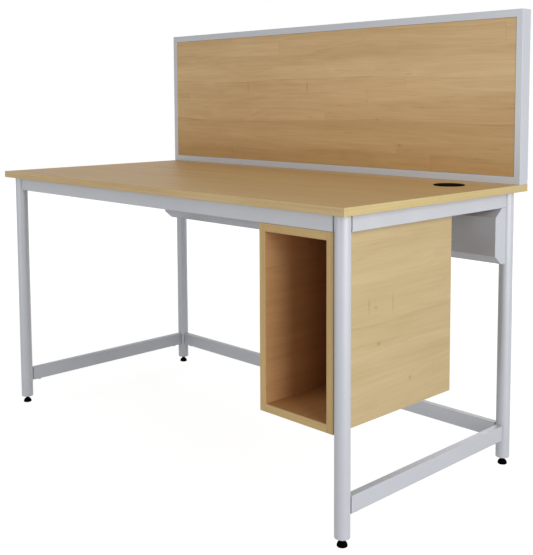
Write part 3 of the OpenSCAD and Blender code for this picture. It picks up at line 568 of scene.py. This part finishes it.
def studio_floor(name):
    """Lays a round floor."""
    mesh = bmesh.new()
    bmesh.ops.create_circle(mesh, cap_ends=True, segments=FLOOR_SEGMENTS, radius=FLOOR_RADIUS)
    data = bpy.data.meshes.new(name)
    mesh.to_mesh(data)
    mesh.free()
    data.materials.append(floor_material("floor_pale"))
    floor = link(name, data)
    floor.location.z = -FLOOR_DEPTH


def softbox(name, watts, size, place, target):
    """Adds one square soft lamp that looks at the target."""
    data = bpy.data.lights.new(name, "AREA")
    data.energy = watts
    data.size = size
    lamp = link(name, data)
    lamp.location = place
    lamp.rotation_euler = (Vector(target) - Vector(place)).to_track_quat("-Z", "Y").to_euler()


def studio_world(strength):
    """Even soft light from all round, and plain white where the eye looks past the object."""
    world = bpy.data.worlds.new("studio")
    world.use_nodes = True
    tree = world.node_tree
    background = tree.nodes["Background"]
    background.inputs["Color"].default_value = WHITE
    shown = tree.nodes.new("ShaderNodeMapRange")
    shown.inputs["To Min"].default_value = strength
    shown.inputs["To Max"].default_value = 1.0
    tree.links.new(seen_rays(tree), shown.inputs["Value"])
    tree.links.new(shown.outputs[0], background.inputs["Strength"])
    bpy.context.scene.world = world


def photo_camera(name):
    """Places the camera of the photograph, solved in pixels of its frame."""
    yaw, pitch, roll = (math.radians(angle) for angle in (CAMERA_YAW, CAMERA_PITCH, CAMERA_ROLL))
    level = math.cos(pitch)
    ahead = Vector((-math.sin(yaw) * level, math.cos(yaw) * level, -math.sin(pitch)))
    right = Vector((math.cos(yaw), math.sin(yaw), 0.0))
    up = right.cross(ahead)
    across = math.cos(roll) * right + math.sin(roll) * up
    upward = math.cos(roll) * up - math.sin(roll) * right
    turn = Matrix((across, upward, -ahead)).transposed().to_4x4()

    data = bpy.data.cameras.new(name)
    data.sensor_width = SENSOR_WIDTH
    data.lens = FOCAL_PIXELS * SENSOR_WIDTH / PHOTO_HEIGHT
    data.shift_x = (PHOTO_WIDTH / 2 - CENTRE_PIXELS[0]) / PHOTO_HEIGHT
    data.shift_y = (CENTRE_PIXELS[1] - PHOTO_HEIGHT / 2) / PHOTO_HEIGHT
    data.clip_start, data.clip_end = CLIP_RANGE
    camera = link(name, data)
    camera.matrix_world = Matrix.Translation(CAMERA_PLACE) @ turn
    bpy.context.scene.camera = camera


desk_wood = laminate("laminate_worktop", "X", DESK_PRINT, 0.2, gloss=0.24, rough=0.44)
screen_wood = laminate(
    "laminate_screen", "X", SCREEN_PRINT, 0.22, SCREEN_KNOTS, SCREEN_TICKS, shade_heights=SCREEN_SHADE_HEIGHTS,
)
rear_wood = laminate("laminate_rear", "X", SCREEN_PRINT, 0.22)
bay_wood = laminate("laminate_bay", "Y", BAY_PRINT, 0.12, BAY_KNOTS, BAY_TICKS, bay_shade_tint=BAY_WALL_SHADE)
bay_back_wood = laminate("laminate_bay_back", "X", BAY_PRINT, 0.12, bay_shade_tint=BAY_WALL_SHADE)
bay_floor_wood = laminate("laminate_bay_floor", "Y", BAY_PRINT, 0.12, bay_shade_tint=BAY_FLOOR_SHADE)
long_band = edge_band("edge_band_x", "X", FRONT_BAND)
deep_band = edge_band("edge_band_y", "Y", SIDE_BAND)
bay_band = edge_band("edge_band_bay", BAY_STRIPS, BAY_BAND)
steel = zinc_plate("zinc_plate", ZINC)

by_slot = {
    "beech_laminate": bay_wood,
    "edge_band": long_band,
    "silver_paint": powder_coat("silver_powder_coat", SILVER),
    "anodised_aluminium": anodised("anodised_sections", ALUMINIUM),
    "black_plastic": moulded("black_moulding", BLACK),
    "zinc_steel": steel,
    "beech_dowel": bare_beech("bare_beech", "X", DOWEL_WOOD),
}
for node_name, node in NODES.items():
    dress(by_slot[node.material_slots[0].material.name], node_name)
dress(desk_wood, "worktop_board")
dress(screen_wood, "screen_panel_front")
dress(rear_wood, "screen_panel_rear")
dress(bay_back_wood, "bay_back")
dress(bay_floor_wood, "bay_bottom")
dress(deep_band, "worktop_band_left", "worktop_band_right")
dress(bay_band, "bay_edge_bands")

for foot_name in FEET:
    threaded_stud(foot_name, steel)

studio_floor("studio_floor")
for lamp_facts in LAMPS:
    softbox(*lamp_facts)
studio_world(WORLD_STRENGTH)
photo_camera("photo_camera")

bpy.context.scene.view_settings.view_transform = "Standard"
